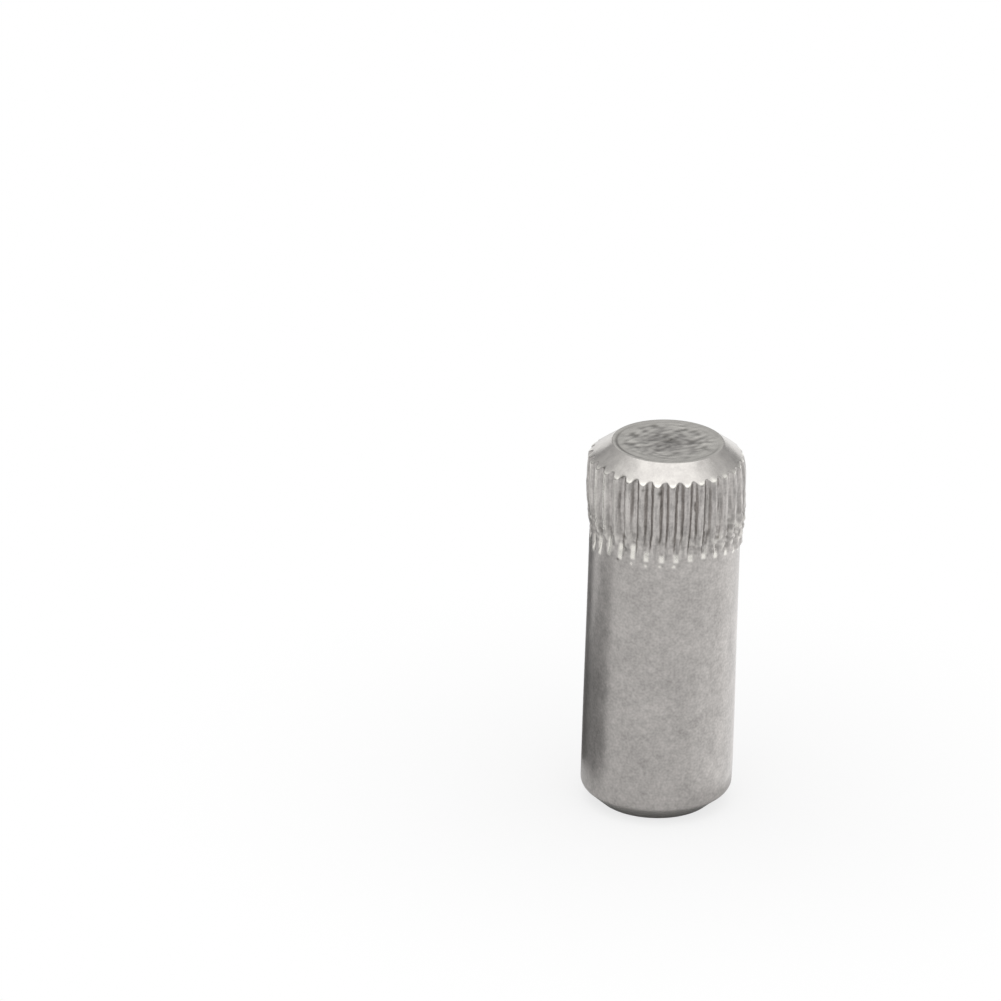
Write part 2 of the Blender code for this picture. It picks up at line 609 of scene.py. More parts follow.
class StageSettings(bpy.types.PropertyGroup):
    """Floor and light"""

    floor_colour: FloatVectorProperty(
        name="Floor",
        description="Colour of the floor",
        default=(0.85, 0.85, 0.85),
        subtype="COLOR",
        size=3,
    )
    shadow_fill: FloatProperty(
        name="Shadow fill",
        description="White added to the floor at the foot",
        default=0.75,
        subtype="FACTOR",
    )
    low_walls: FloatProperty(
        name="Low walls",
        description="Brightness of the room at the floor",
        default=0.3,
    )
    high_walls: FloatProperty(
        name="High walls",
        description="Brightness of the room above",
        default=0.75,
    )
    overhead: FloatProperty(
        name="Overhead",
        description="Brightness of the soft light above",
        default=0.5,
    )
    front: FloatProperty(
        name="Front",
        description="Brightness of the soft light in front",
        default=0.7,
    )
    grey_card: FloatProperty(
        name="Grey card",
        description="Brightness of the grey cards, left of the pin",
        default=0.3,
    )
    white_card: FloatProperty(
        name="White card",
        description="Brightness of the white cards, right of the pin and behind it",
        default=1.2,
    )


def deselect_all():
    if bpy.context.object and bpy.context.object.mode != "OBJECT":
        bpy.ops.object.mode_set(mode="OBJECT")
    bpy.ops.object.select_all(action="DESELECT")


def between(start, end, gaps):
    """Evenly spaced points from start to end, both included."""
    return [tuple(a + (b - a) * step / gaps for a, b in zip(start, end)) for step in range(gaps + 1)]


def turn_from(middle, angle):
    """How far an angle lies past another, between half a turn back and half a turn on."""
    return (angle - middle + math.pi) % (2 * math.pi) - math.pi


def rounded_corner(before, corner, after, radius, steps):
    """The arc, as (radius, height) points, that rounds the corner of an outline between two straights."""
    into_angle = math.atan2(before[1] - corner[1], before[0] - corner[0])
    out_angle = math.atan2(after[1] - corner[1], after[0] - corner[0])
    opening = turn_from(into_angle, out_angle)
    middle = into_angle + opening / 2
    reach = radius / math.sin(abs(opening) / 2)
    centre = (corner[0] + reach * math.cos(middle), corner[1] + reach * math.sin(middle))
    half_arc = math.copysign((math.pi - abs(opening)) / 2, opening)
    points = []
    for step in range(steps + 1):
        angle = middle + math.pi + half_arc * (1 - 2 * step / steps)
        points.append((centre[0] + radius * math.cos(angle), centre[1] + radius * math.sin(angle)))
    return points


def hump(away, reach):
    """One where away is nothing, falling smoothly to nothing over a few times the reach."""
    return np.exp(-((away / reach) ** 2))


def near(angle, middle, spread):
    """One at the middle of a side of the pin, falling to nothing over its spread."""
    return hump(turn_from(middle, angle), spread)


def smooth_step(low, high, value):
    share = np.clip((value - low) / (high - low), 0.0, 1.0)
    return share * share * (3 - 2 * share)


def perlin(points, size, upright, shift):
    """Noise from about -1 to 1 at each point, in lumps that stand taller as upright falls below 1."""
    offset = Vector([share * shift for share in SHIFT_SHARES])
    counted = points * (1.0, 1.0, upright)
    return np.array([noise.noise(Vector(point) / size + offset) for point in counted])


def polar(points):
    """Each point's distance from the pin's axis and its angle round it."""
    return np.hypot(points[:, 0], points[:, 1]), np.arctan2(points[:, 1], points[:, 0])


class Knurl:
    """The rolled teeth, as a surface that gives its radius at an angle and a height."""

    def __init__(self, sizes, wear):
        self.sizes = sizes
        self.wear = wear
        self.radius = sizes.shank_diameter / 2
        self.pitch_angle = 2 * math.pi / sizes.teeth
        self.half_pitch = self.pitch_angle * self.radius / 2
        self.swell_start = sizes.length - sizes.swell_span
        self.widest = sizes.length - sizes.widest_below_face
        self.groove_start = self.swell_start - sizes.groove_overrun
        self.base = self.groove_start - PLAIN_BELOW_GROOVES
        self.face_radius = self.radius - sizes.head_chamfer_width
        self.cone = math.tan(sizes.head_chamfer_angle)
        self.scatter_teeth()

    def scatter_teeth(self):
        """Draws how each groove, tooth and flank differs from the others."""
        count = self.sizes.teeth
        chance = random.Random(self.wear.seed)

        def drawn(low, high, number):
            return np.array([chance.uniform(low, high) for _ in range(number)])

        self.end_shift = drawn(-1.0, 1.0, count) * self.wear.end_scatter
        self.depth = drawn(*GROOVE_DEPTHS, count)
        self.sideways = drawn(-1.0, 1.0, count) * self.wear.side_scatter
        self.crest = drawn(*CREST_RISES, count)
        grooves = np.arange(count) * self.pitch_angle
        growth = self.sizes.pocket_growth * near(grooves, *LONG_POCKET_SIDE)
        self.pocket = (self.sizes.pocket_length + growth) * drawn(*POCKET_LENGTHS, count)
        self.end_shift -= POCKET_DROP * growth
        self.end_shift -= LOW_LEFT_DROP * near(grooves, *LOW_LEFT_SIDE)
        self.end_shift -= LOW_RIGHT_DROP * near(grooves, *LOW_RIGHT_SIDE)
        # How much painted shade each flank takes
        self.flank_shade = drawn(*FLANK_SHADE_SHARES, 2 * count)

    def chamfer_radius(self, height):
        return self.face_radius + (self.sizes.length - height) / self.cone

    def crest_meeting(self):
        """The height at which the chamfer would meet the widest crest."""
        return self.sizes.length - (self.radius + self.sizes.crest_rise - self.face_radius) * self.cone

    def section_offsets(self):
        """A half tooth space as distances from the groove's middle, closest together on the flank."""
        last = COLUMNS_PER_TOOTH // 2
        columns = (0, FLOOR_EDGE_COLUMN, FLANK_TOP_COLUMN, last)
        floor = self.sizes.floor_width / 2
        offsets = (0.0, floor, floor + self.sizes.flank_width, self.half_pitch)
        return np.interp(np.arange(last + 1), columns, offsets)

    def tooth(self, reach, floor, flank):
        """Share of the tooth's height at a distance from the groove's middle."""
        wall = smooth_step(floor, floor + flank, reach)
        brow = floor + flank / 2
        over_crest = np.clip((self.half_pitch - reach) / (self.half_pitch - brow), 0.0, 1.0)
        return (1 - self.sizes.crown) * wall + self.sizes.crown * (1 - over_crest**2)

    def place(self, column):
        """The groove that a column belongs to, its offset from the groove's middle, and its angle."""
        groove = np.floor_divide(column + COLUMNS_PER_TOOTH // 2, COLUMNS_PER_TOOTH)
        step = column - groove * COLUMNS_PER_TOOTH
        offset = np.sign(step) * self.section_offsets()[np.abs(step)]
        angle = groove * self.pitch_angle + offset / self.radius
        return groove % self.sizes.teeth, offset, angle

    def spots(self, angle, height):
        return np.column_stack((self.radius * np.cos(angle), self.radius * np.sin(angle), height))

    def waist(self, height):
        """How much thinner the shank is at a height."""
        below = 1 - smooth_step(*WAIST_ENDS, height)
        return self.sizes.waist * smooth_step(*WAIST_BEGINS, height) * below

    def slip(self, height):
        """How far the grooves have moved aside at a height."""
        return self.sizes.slip * (1 - smooth_step(self.swell_start, self.swell_start + SLIP_SPAN, height))

    def pocket_along(self, groove, height):
        """The clean pockets that the roll's teeth pressed at the grooves' lower ends."""
        above = height - self.groove_start - self.end_shift[groove]
        length = self.pocket[groove]
        ends = 1 - smooth_step(POCKET_FADE[0] * length, POCKET_FADE[1] * length, above)
        return smooth_step(0.0, POCKET_RISE, above) * ends

    def swell(self, height):
        """Share of the crests' full rise, from the shank up to the widest place and down again."""
        from_widest = (height - self.widest) / (self.widest - self.swell_start)
        return np.clip(1 - from_widest**2, 0.0, 1.0) * (height > self.swell_start)

    def lip(self, angle, height):
        """Share of the torn lip, which starts at once and fades into the swell."""
        start = self.groove_start + LIP_BEGINS - LOW_RIGHT_DROP * near(angle, *LOW_RIGHT_SIDE)
        fade = 1 - smooth_step(self.swell_start + LIP_FADES, self.widest, height)
        return smooth_step(start, start + LIP_RISE_SPAN, height) * fade

    def crest_height(self, groove, offset, angle, height):
        """How high the crests stand above the shank, with the torn lip and the worn upper corners."""
        sizes = self.sizes
        own_crest = np.where(offset >= 0, groove, groove - 1) % sizes.teeth
        rise = sizes.crest_rise * self.swell(height) * self.crest[own_crest]
        rise += sizes.lip_rise * near(angle, *LIP_SIDE) * self.lip(angle, height)
        worn = np.zeros(len(height))
        for share, begins, ends in SHOULDER_WEAR:
            worn += share * smooth_step(sizes.length - begins, sizes.length - ends, height)
        return rise - sizes.shoulder_wear * near(angle, *WORN_SIDE) * worn

    def groove_depth(self, groove, height):
        """How deep the grooves' floors lie below the shank, to which they rise at their lower ends."""
        sizes = self.sizes
        end = self.groove_start + self.end_shift[groove]
        into = smooth_step(end, end + sizes.run_out, height)
        low = 1 - smooth_step(self.swell_start, self.widest, height)
        pocket_depth = sizes.run_out_depth * self.depth[groove]
        return (sizes.root_depth + (pocket_depth - sizes.root_depth) * low) * into

    def torn_share(self, angle, height):
        """How much the metal is torn: most where the teeth run out, and on the right side."""
        low = smooth_step(self.groove_start + TEAR_BEGINS, self.swell_start, height)
        lip = near(angle, *LIP_SIDE)
        high = 1 - smooth_step(TEAR_FADES, TEAR_ENDS + TEAR_ENDS_LATER * lip, height - self.swell_start)
        side = (TEAR_SHARE + TEAR_MORE_AT_LIP * lip) * (1 - TEAR_LESS_IN_FRONT * near(angle, *CLEAN_SIDE))
        return low * high * side

    def torn_lumps(self, angle, height):
        return perlin(self.spots(angle, height), *TORN_LUMPS)

    def torn(self, angle, height, tall):
        """Metal torn and pushed up by the roll."""
        spots = self.spots(angle, height)
        rough = self.torn_lumps(angle, height) + RAG_SHARE * perlin(spots, *TORN_RAGS)
        fine = FINE_TEAR_SHARE * perlin(spots, *FINE_TEARS) * smooth_step(0.0, TOOTHED_HEIGHT, tall)
        return self.wear.tear * (self.torn_share(angle, height) * rough + fine)

    def room(self, angle):
        """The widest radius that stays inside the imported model's box and the nominal crests."""
        across = CAD_BOX[1].x / np.maximum(np.abs(np.cos(angle)), SNAP)
        along = CAD_BOX[1].y / np.maximum(np.abs(np.sin(angle)), SNAP)
        return np.minimum(np.minimum(across, along), self.radius + self.sizes.crest_rise) - SNAP

    def side_radius(self, column, height):
        """The radius of the toothed side at a column and a height."""
        sizes = self.sizes
        groove, offset, angle = self.place(column)
        depth = self.groove_depth(groove, height)
        tall = self.crest_height(groove, offset, angle, height) + depth
        wander = self.wear.ripple * perlin(self.spots(angle, height), *WANDER)
        loose = 1 - np.abs(offset) / self.half_pitch
        reach = np.abs(offset + (self.sideways[groove] + self.slip(height) + wander) * loose)
        pocket = self.pocket_along(groove, height)
        top = smooth_step(self.widest + TOP_BEGINS, self.widest + TOP_FULL, height)
        floor = sizes.floor_width / 2 * (1 + POCKET_FLOOR_GAIN * pocket) * (1 - TOP_FLOOR_LOSS * top)
        flank = sizes.flank_width * (1 - POCKET_FLANK_LOSS * pocket + TOP_FLANK_GAIN * top)
        flank *= 1 - FLANK_LEAN * np.sign(offset)
        torn = self.torn(angle, height, tall) * (1 - pocket * (1 - smooth_step(*POCKET_SIDE, reach)))
        spread = self.radius - self.waist(height) - depth + tall * self.tooth(reach, floor, flank) + torn
        return np.minimum(spread, self.room(angle))

    def burnish_and_highlights(self, column, height):
        """Burnished metal and painted highlights: the roll's clean pockets lightened as a painted sheen,
        the raised torn specks, and a painted glint on the ridges at the left.
        """
        groove, offset, angle = self.place(column)
        reach = np.abs(offset + self.slip(height) + self.sideways[groove])
        # The roll's burnished pockets, lightened as a painted sheen
        pocket = self.pocket_along(groove, height) * (1 - smooth_step(*POCKET_SHEEN_SIDE, reach))
        # Painted highlights on the torn lumps where they stand high
        speck_highlights = smooth_step(0.0, SPECK_LEVEL, self.torn_lumps(angle, height))
        speck_highlights *= self.torn_share(angle, height)
        # A painted glint along each crest's ridge on the left side, above the swell's start
        ridge_glint = hump(self.half_pitch - np.abs(offset), RIDGE_GLINT_WIDTH) * near(angle, *PAINTED_GLINT_SIDE)
        ridge_glint *= smooth_step(self.swell_start, self.swell_start + RIDGE_GLINT_RISE, height)
        outside = (SPECK_HIGHLIGHT * speck_highlights + RIDGE_GLINT * ridge_glint) * (1 - pocket)
        return np.clip(POCKET_BURNISH_AND_SHEEN * pocket + outside, 0.0, 1.0)

    def shade(self, column, height):
        """Painted shade: on the flanks, most near their lower ends, and in the pits among the torn metal.
        """
        groove, offset, angle = self.place(column)
        left = offset < 0
        brow = (self.sizes.floor_width + self.sizes.flank_width) / 2
        # Painted shade on the flanks, more on one side of each groove than the other, and most near their
        # lower ends
        wall = hump(np.abs(offset) - brow, FLANK_SHADE_WIDTH) * np.where(left, FLANK_SHADE_LEFT, FLANK_SHADE_RIGHT)
        wall *= self.flank_shade[2 * groove + left]
        wall *= 1 + LOW_FLANK_SHADE * (1 - smooth_step(*LOW_FLANK_SHADE_ENDS, height - self.swell_start))
        wall *= smooth_step(self.swell_start, self.swell_start + FLANK_SHADE_BEGINS, height)
        # Painted shade in the pits where the torn lumps lie low, kept out of the clean pockets
        pit_shade = smooth_step(0.0, PIT_LEVEL, -self.torn_lumps(angle, height))
        pit_shade *= self.torn_share(angle, height)
        pit_shade *= 1 - self.pocket_along(groove, height) * (1 - smooth_step(*POCKET_SIDE, np.abs(offset)))
        return np.clip(wall + PIT_SHADE * pit_shade, 0.0, 1.0)

    def meetings(self, columns):
        """The height at which each column runs into the end's chamfer."""
        low = np.full(len(columns), self.widest)
        high = np.full(len(columns), self.sizes.length)
        for _ in range(HALVINGS):
            middle = (low + high) / 2
            inside = self.side_radius(columns, middle) < self.chamfer_radius(middle)
            low = np.where(inside, middle, low)
            high = np.where(inside, high, middle)
        return low


def wall_rings(sizes, knurl):
    """The turned outline from the plain face's rim up to the knurled face's rim, as (radius, height)."""
    radius = knurl.radius
    foot_edge = (radius - sizes.foot_chamfer_width, 0.0)
    shoulder = (radius, sizes.foot_chamfer_height)
    knurl_foot = (radius, knurl.base)
    knurl_top = (radius + sizes.crest_rise, knurl.crest_meeting())
    head_edge = (knurl.face_radius, sizes.length)
    foot_arc = rounded_corner((0.0, 0.0), foot_edge, shoulder, sizes.edge_radius, EDGE_STEPS)
    shoulder_arc = rounded_corner(foot_edge, shoulder, knurl_foot, sizes.shoulder_radius, SHOULDER_STEPS)
    head_arc = rounded_corner(knurl_top, head_edge, (0.0, sizes.length), sizes.edge_radius, EDGE_STEPS)
    rings = foot_arc + between(foot_arc[-1], shoulder_arc[0], FOOT_CHAMFER_ROWS)[1:-1] + shoulder_arc
    shank = between(shoulder_arc[-1], knurl_foot, SHANK_ROWS)[1:]
    rings += [(spread - knurl.waist(height), height) for spread, height in shank]
    rings += between(rings[-1], knurl_top, KNURL_ROWS)[1:]
    chamfer_rows = between(knurl_top, head_arc[0], CHAMFER_ROWS)
    corner = between(knurl_top, chamfer_rows[1], CORNER_ROWS)
    return rings + corner[1:-1] + chamfer_rows[1:-1] + head_arc


def select_ring(obj, height):
    """Selects only what stands at a height, in edit mode."""
    bpy.ops.mesh.select_all(action="DESELECT")
    mesh = bmesh.from_edit_mesh(obj.data)
    for vert in mesh.verts:
        vert.select = abs(vert.co.z - height) < SNAP
    mesh.select_flush(True)
    bmesh.update_edit_mesh(obj.data)


def raise_wall(rings, columns):
    """A circle at the plain face's rim, extruded ring by ring up the outline."""
    deselect_all()
    foot_radius, foot_height = rings[0]
    foot = (0.0, 0.0, foot_height)
    bpy.ops.mesh.primitive_circle_add(vertices=columns, radius=foot_radius, location=foot)
    obj = bpy.context.object
    bpy.ops.object.mode_set(mode="EDIT")
    bpy.ops.mesh.select_all(action="SELECT")
    for (radius, height), (next_radius, next_height) in zip(rings, rings[1:]):
        rise = (0.0, 0.0, next_height - height)
        bpy.ops.mesh.extrude_region_move(TRANSFORM_OT_translate={"value": rise})
        growth = next_radius / radius
        if abs(growth - 1) > SNAP:
            bpy.ops.transform.resize(value=(growth, growth, 1.0), center_override=(0.0, 0.0, next_height))
    return obj


def close_faces(obj, rings, columns):
    """The knurled face is filled with an even grid, and the plain face with a few rings and a centre."""
    bpy.ops.mesh.fill_grid(span=columns // 4)
    foot_radius, foot_height = rings[0]
    select_ring(obj, foot_height)
    bpy.ops.mesh.edge_face_add()
    for _ in range(FOOT_FACE_RINGS):
        bpy.ops.mesh.inset(thickness=foot_radius / (FOOT_FACE_RINGS + 1))
    bpy.ops.mesh.poke()
    bpy.ops.mesh.select_all(action="SELECT")
    bpy.ops.mesh.normals_make_consistent(inside=False)
    if any(edge.is_boundary for edge in bmesh.from_edit_mesh(obj.data).edges):
        raise RuntimeError("the pin's mesh isn't closed")
    bpy.ops.object.mode_set(mode="OBJECT")


def coordinates(mesh):
    flat = np.empty(len(mesh.vertices) * 3)
    mesh.vertices.foreach_get("co", flat)
    return flat.reshape(-1, 3)


def set_coordinates(mesh, points):
    mesh.vertices.foreach_set("co", points.ravel())
    mesh.update()


def read_mark(mesh, name):
    values = np.empty(len(mesh.vertices))
    mesh.attributes[name].data.foreach_get("value", values)
    return values


def write_mark(mesh, name, values):
    if name not in mesh.attributes:
        mesh.attributes.new(name, "FLOAT", "POINT")
    mesh.attributes[name].data.foreach_set("value", np.clip(values, 0.0, 1.0))


def roll_knurl(mesh, knurl, columns):
    """Moves the wall's rings on to the teeth and the chamfer that cuts them."""
    points = coordinates(mesh)
    spread, turn = polar(points)
    column = np.round(turn / (2 * math.pi / columns)).astype(int) % columns
    height = points[:, 2].copy()
    nominal_top = knurl.crest_meeting()
    crests = knurl.radius + knurl.sizes.crest_rise
    meeting = knurl.meetings(np.arange(columns))

    side = (height > knurl.base + SNAP) & (height < nominal_top + SNAP)
    up_side = (height[side] - knurl.base) / (nominal_top - knurl.base)
    height[side] = knurl.base + up_side * (meeting[column[side]] - knurl.sizes.burr - knurl.base)
    spread[side] = knurl.side_radius(column[side], height[side])

    face_edge = knurl.sizes.length - knurl.sizes.edge_radius
    cut = (points[:, 2] > nominal_top + SNAP) & (points[:, 2] < face_edge)
    cut &= spread > knurl.face_radius + SNAP
    up_chamfer = (crests - spread[cut]) / (crests - knurl.face_radius)
    cut_radius = knurl.chamfer_radius(meeting[column[cut]])
    spread[cut] = cut_radius + (knurl.face_radius - cut_radius) * up_chamfer
    height[cut] = knurl.sizes.length - (spread[cut] - knurl.face_radius) * knurl.cone
    spots = knurl.spots(knurl.place(column[cut])[2], height[cut])
    dents = knurl.wear.dents * perlin(spots, *CHAMFER_DENTS)
    spread[cut] += dents * smooth_step(0.0, DENT_FADE, 1 - up_chamfer)

    wall = side | cut
    angle = knurl.place(column[wall])[2]
    points[wall, 0] = spread[wall] * np.cos(angle)
    points[wall, 1] = spread[wall] * np.sin(angle)
    points[wall, 2] = height[wall]
    set_coordinates(mesh, points)
    mark_finish(mesh, knurl, column, side, cut, up_chamfer)


def mark_finish(mesh, knurl, column, side, cut, up_chamfer):
    """Point attributes for the material: where the steel is burnished or has painted highlights, where it
    has painted shade or dark marks, and where it is knurled or turned.
    """
    points = coordinates(mesh)
    height = points[:, 2]
    spread, angle = polar(points)
    sizes = knurl.sizes
    top = height > sizes.length - sizes.edge_radius
    foot = (height < sizes.foot_chamfer_height) & (spread < knurl.radius - FOOT_MARGIN)
    burnished_or_highlit, shade_and_dark_marks, knurled, turned = (np.zeros(len(points)) for _ in range(4))

    burnished_or_highlit[side] = knurl.burnish_and_highlights(column[side], height[side])
    shade_and_dark_marks[side] = knurl.shade(column[side], height[side])
    knurled[side] = smooth_step(knurl.groove_start, knurl.swell_start, height[side])
    turned[cut | top | foot] = 1.0
    # Painted shade on the foot's chamfer, darker towards the floor
    shade_and_dark_marks[foot] = FOOT_SHADE + FOOT_RIM_SHADE * (1 - height[foot] / sizes.foot_chamfer_height)
    # A painted glint on each tooth's crest, low on the chamfer
    on_crest = np.abs(knurl.place(column[cut])[1]) > TIP_GLINT_CREST * knurl.half_pitch
    burnished_or_highlit[cut] += TIP_GLINT * (1 - smooth_step(*TIP_GLINT_SPAN, up_chamfer)) * on_crest
    for degrees, middle, width, tall, strength in MARKS:
        across = turn_from(math.radians(degrees), angle - FRONT) * knurl.radius
        blot = hump(across, width * MM) * hump(height - middle * MM, tall * MM)
        if strength > 0:
            burnished_or_highlit += strength * blot
        else:
            shade_and_dark_marks -= strength * blot
    for name, values in (("burnished_or_highlit", burnished_or_highlit), ("shade_and_dark_marks", shade_and_dark_marks), ("knurled", knurled), ("turned", turned)):
        write_mark(mesh, name, values)


def wear_foot(mesh, knurl):
    """Thins the pin's foot on its worn side."""
    points = coordinates(mesh)
    low = 1 - smooth_step(*FOOT_WEAR_FADE, points[:, 2])
    lost = knurl.sizes.foot_wear * near(polar(points)[1], *FOOT_WEAR_SIDE) * low
    points[:, :2] *= (1 - lost / knurl.radius)[:, None]
    set_coordinates(mesh, points)


def face_smears(points, knurl):
    """Smeared metal over the knurled face, from about -1 to 1, calm at its rim and in front."""
    spread, angle = polar(points)
    along = STROKE_SCALES[0] * (points[:, 0] + points[:, 1])
    across = STROKE_SCALES[1] * (points[:, 1] - points[:, 0])
    strokes = np.column_stack((along, across, np.zeros(len(points))))
    swirls = SWIRL_SCALE * np.column_stack((MM * np.cos(angle), MM * np.sin(angle), spread))
    smears = STROKE_SHARE * perlin(strokes, *FACE_STROKES) + SWIRL_SHARE * perlin(swirls, *FACE_SWIRLS)
    middle = 1 - smooth_step(*SMEAR_FADE, spread / knurl.face_radius)
    calm = 1 - CALM_SHARE * near(angle, *CALM_FACE_SIDE) * smooth_step(*CALM_BEGINS, spread)
    return smears * (SMEAR_AT_RIM + (1 - SMEAR_AT_RIM) * middle * calm)


def rim_groove(points, knurl):
    """A shallow turned groove near the knurled face's rim, plainest on the left."""
    spread, angle = polar(points)
    plain = RIM_GROOVE_LEAST + (1 - RIM_GROOVE_LEAST) * near(angle, *RIM_LEFT_SIDE)
    plain += RIM_GROOVE_RIGHT * near(angle, *RIM_RIGHT_SIDE)
    return plain * hump(spread - RIM_GROOVE_PLACE * knurl.face_radius, RIM_GROOVE_WIDTH)


def scuffs(points, knurl):
    """Short scuffs round the face, each a shallow dent or a low ridge."""
    spread, angle = polar(points)
    chance = random.Random(knurl.wear.seed + 1)
    relief = np.zeros(len(points))
    for _ in range(knurl.wear.scuffs):
        away = knurl.face_radius * math.sqrt(chance.uniform(*SCUFF_PLACES))
        round_angle = chance.uniform(0, 2 * math.pi)
        half_length = chance.uniform(*SCUFF_HALF_LENGTHS) * MM
        half_width = chance.uniform(*SCUFF_HALF_WIDTHS) * MM
        height = chance.uniform(*SCUFF_HEIGHTS) * knurl.wear.scuff_depth
        lean = chance.gauss(0, SCUFF_LEAN)
        along = turn_from(round_angle, angle) * spread
        relief += height * hump(along, half_length) * hump(spread - away + lean * along, half_width)
    return relief


def face_relief(points, knurl):
    """Height of the facing rings, smears and scuffs over the knurled face."""
    wear = knurl.wear
    patch = 0.5 + 0.5 * perlin(points, *FACE_PATCHES)
    phase = RING_SHIFT * perlin(points, *RING_WANDER)
    relief = wear.facing_depth * np.cos(2 * math.pi * polar(points)[0] / RING_PITCH + phase) * patch
    relief += wear.smear * face_smears(points, knurl)
    relief -= RIM_GROOVE_DEPTH * rim_groove(points, knurl)
    relief -= CENTRE_DEPTH * hump(points[:, 0], CENTRE_SIZE[0]) * hump(points[:, 1], CENTRE_SIZE[1])
    return relief + scuffs(points, knurl)


def wear_face(mesh, knurl):
    """The face's rim stays at the pin's full length, and everything inside it lies a little lower."""
    points = coordinates(mesh)
    face = points[:, 2] > knurl.sizes.length - SNAP
    spots = points[face]
    spread = polar(spots)[0]
    outwards = spread / knurl.face_radius
    hollow = HIGHEST_SMEAR * (1 - smooth_step(*FACE_HOLLOW, outwards))
    relief = np.clip(face_relief(spots, knurl), -DEEPEST_SCUFF, hollow)
    points[face, 2] = knurl.sizes.length + relief * (1 - smooth_step(*FACE_LEVEL, outwards)) - hollow
    set_coordinates(mesh, points)

    # The face is lighter where its smears stand high and darker where they lie low, darker at its middle
    # and lighter towards its rim
    smears = face_smears(spots, knurl)
    centre = hump(spots[:, 0], CENTRE_DARK_SIZE[0]) * hump(spots[:, 1], CENTRE_DARK_SIZE[1])
    # A painted highlight in a thin ring just inside the rim
    rim_highlight = rim_groove(spots * (RIM_HIGHLIGHT_INSET, RIM_HIGHLIGHT_INSET, 1.0), knurl)
    burnished_or_highlit = read_mark(mesh, "burnished_or_highlit")
    burnished_or_highlit[face] = FACE_BRIGHT_SMEAR * np.clip(smears, 0, 1) + FACE_RIM_HIGHLIGHT * rim_highlight
    burnished_or_highlit[face] += FACE_BRIGHT_RIM * smooth_step(*FACE_BRIGHT_FROM, spread)
    write_mark(mesh, "burnished_or_highlit", burnished_or_highlit)
    shade_and_dark_marks = read_mark(mesh, "shade_and_dark_marks")
    shade_and_dark_marks[face] = FACE_DARK_SMEAR * np.clip(-smears, 0, 1) + FACE_DARK_CENTRE * centre
    # Painted shade in the rim groove
    shade_and_dark_marks[face] += FACE_GROOVE_SHADE * rim_groove(spots, knurl)
    shade_and_dark_marks[face] += FACE_DARK_INNER * (1 - smooth_step(*FACE_DARK_TO, spread))
    write_mark(mesh, "shade_and_dark_marks", shade_and_dark_marks)


def opaque(colour):
    return (*colour, 1.0)


def feed(tree, socket, value):
    """Gives a socket a number or a colour, or links another node's output to it."""
    if isinstance(value, bpy.types.NodeSocket):
        tree.links.new(value, socket)
    else:
        socket.default_value = value


def add_node(tree, kind, **inputs):
    node = tree.nodes.new(kind)
    for name, value in inputs.items():
        feed(tree, node.inputs[name.replace("_", " ")], value)
    return node


def maths(tree, operation, first, second):
    node = tree.nodes.new("ShaderNodeMath")
    node.operation = operation
    feed(tree, node.inputs[0], first)
    feed(tree, node.inputs[1], second)
    return node.outputs["Value"]


def mixed(tree, share, first, second):
    node = tree.nodes.new("ShaderNodeMix")
    node.data_type = "RGBA"
    for name, value in (("Factor_Float", share), ("A_Color", first), ("B_Color", second)):
        feed(tree, next(socket for socket in node.inputs if socket.identifier == name), value)
    return next(socket for socket in node.outputs if socket.identifier == "Result_Color")


def marked(tree, name):
    """A point attribute of the mesh, as a number from 0 to 1."""
    node = tree.nodes.new("ShaderNodeAttribute")
    node.attribute_name = name
    return node.outputs["Fac"]


def pattern(tree, place, size, detail):
    """Noise in lumps of a size."""
    inputs = {"Vector": place, "Scale": 1 / size, "Detail": detail, "Roughness": PATTERN_ROUGHNESS}
    return add_node(tree, "ShaderNodeTexNoise", **inputs).outputs["Fac"]


def weighed(tree, level, *patterns):
    """A level, plus each pattern's swing about its middle times its weight."""
    total = level
    for values, weight in patterns:
        swing = maths(tree, "MULTIPLY", maths(tree, "SUBTRACT", values, 0.5), weight)
        total = maths(tree, "ADD", total, swing)
    return total


def ranged(tree, value, low, high, result_low, result_high):
    """A value's place between two others, smoothly, as a number between two results."""
    node = tree.nodes.new("ShaderNodeMapRange")
    node.interpolation_type = "SMOOTHSTEP"
    node.inputs["From Min"].default_value = low
    node.inputs["From Max"].default_value = high
    node.inputs["To Min"].default_value = result_low
    node.inputs["To Max"].default_value = result_high
    tree.links.new(value, node.inputs["Value"])
    return node.outputs["Result"]


def steel_colour(tree, finish, place, speckle, blotch, cloud):
    """A swing of colour, brighter where the steel is turned, burnished or given painted highlights, and
    darker with painted shade and dark marks.
    """
    along_pin = add_node(tree, "ShaderNodeMapping", Vector=place, Scale=STREAK_SCALE).outputs["Vector"]
    streak = pattern(tree, along_pin, *STREAK)
    turned = marked(tree, "turned")
    tumbled = maths(tree, "SUBTRACT", 1.0, maths(tree, "MULTIPLY", turned, TURNED_CALM))
    swing = weighed(tree, 0.0, (speckle, SPECKLE_SWING), (blotch, BLOTCH_SWING), (cloud, CLOUD_SWING))
    share = maths(tree, "ADD", maths(tree, "MULTIPLY", swing, tumbled), 0.5)
    streaks = maths(tree, "MULTIPLY", weighed(tree, 0.0, (streak, STREAK_SWING)), marked(tree, "knurled"))
    share = maths(tree, "ADD", share, streaks)
    low = opaque((1 - COLOUR_SWING) * channel for channel in finish.steel)
    high = opaque((1 + COLOUR_SWING) * channel for channel in finish.steel)
    mottled = weighed(tree, TURNED_BRIGHT, (pattern(tree, place, *MOTTLE), MOTTLE_SWING))
    colour = mixed(tree, share, low, high)
    colour = mixed(tree, maths(tree, "MULTIPLY", turned, mottled), colour, opaque(finish.burnished_and_highlight_steel))
    colour = mixed(tree, marked(tree, "burnished_or_highlit"), colour, opaque(finish.burnished_and_highlight_steel))
    return mixed(tree, marked(tree, "shade_and_dark_marks"), colour, opaque(finish.shade_and_grime))


